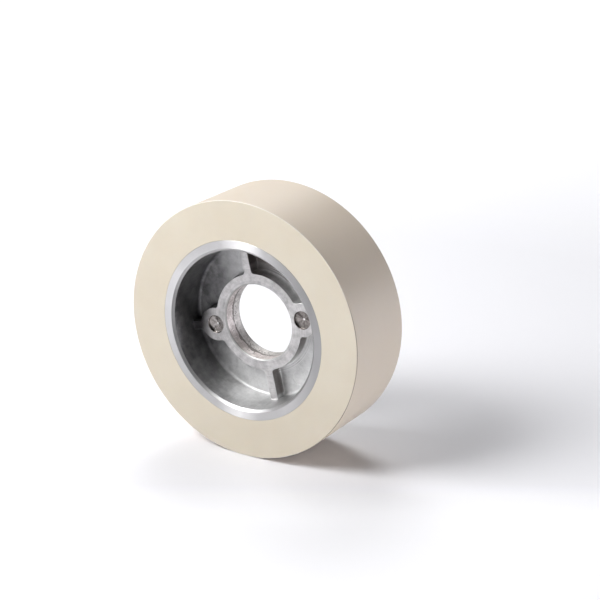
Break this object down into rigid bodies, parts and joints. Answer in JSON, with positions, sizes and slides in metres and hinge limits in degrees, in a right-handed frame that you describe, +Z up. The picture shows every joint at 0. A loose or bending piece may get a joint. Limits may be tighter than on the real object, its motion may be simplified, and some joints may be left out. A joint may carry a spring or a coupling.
{
  "type": "elastomer-tyred roll wheel",
  "caption": "Thick cream elastomer tyre moulded on a cast aluminium core with a recessed ribbed web, open central bore and round seats in two hub ears.",
  "frame": {"origin": "centre of the wheel, on its axis, midway between its two faces; the web's front face and the casting's parting plane lie on it", "axes": "+Y along the wheel's axis towards the rear face, -Y out of the front face with the two ears, +Z up as pictured"},
  "size_m": [0.23, 0.075, 0.23],
  "materials": {
    "tyre": "satin, cast elastomer with turned sides",
    "core": "as-cast, with the rim ring, hub faces and bore machined"
  },
  "bodies": {
    "root": {"tyre": "tyre", "core": "core"}
  },
  "joints": []
}
